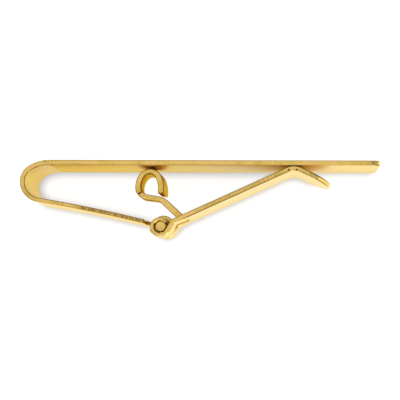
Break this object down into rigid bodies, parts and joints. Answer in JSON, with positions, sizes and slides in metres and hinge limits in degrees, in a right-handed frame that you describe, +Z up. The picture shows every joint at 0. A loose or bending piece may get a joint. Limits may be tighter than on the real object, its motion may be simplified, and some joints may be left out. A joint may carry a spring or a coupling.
{
  "type": "hinged money clip",
  "caption": "Sprung strip-metal money clip with a bent leg, a pivoting lever that cams shut over centre and a looped pressure spring.",
  "frame": {"origin": "centre of the base of the bounding box, on the table that the clip's side edges stand on", "axes": "+X along the front plate towards its open end, +Y from the back leg to the front plate, +Z up across the clip's width"},
  "size_m": [0.0522, 0.011, 0.0155],
  "materials": {
    "front_plate": "polished gold tone",
    "spring_leg": "polished gold tone",
    "hinge_pin": "turned gold tone",
    "lever_arm": "polished gold tone",
    "cam_loop": "polished gold tone"
  },
  "bodies": {
    "plate": {"front_plate": "front_plate"},
    "leg": {"spring_leg": "spring_leg", "hinge_pin": "hinge_pin"},
    "lever": {"lever_arm": "lever_arm", "cam_loop": "cam_loop"}
  },
  "joints": [
    {"name": "leg_flex", "type": "hinge", "parent": "plate", "child": "leg", "pos_m": [-0.02183, 0.0055, 0], "axis": [0, 0, -1], "range_deg": [0, 3], "stiffness_Nm_per_rad": 1.6},
    {"name": "lever_pivot", "type": "hinge", "parent": "leg", "child": "lever", "pos_m": [-0.00555, -0.00408, 0], "axis": [0, 0, -1], "range_deg": [0, 180]}
  ]
}
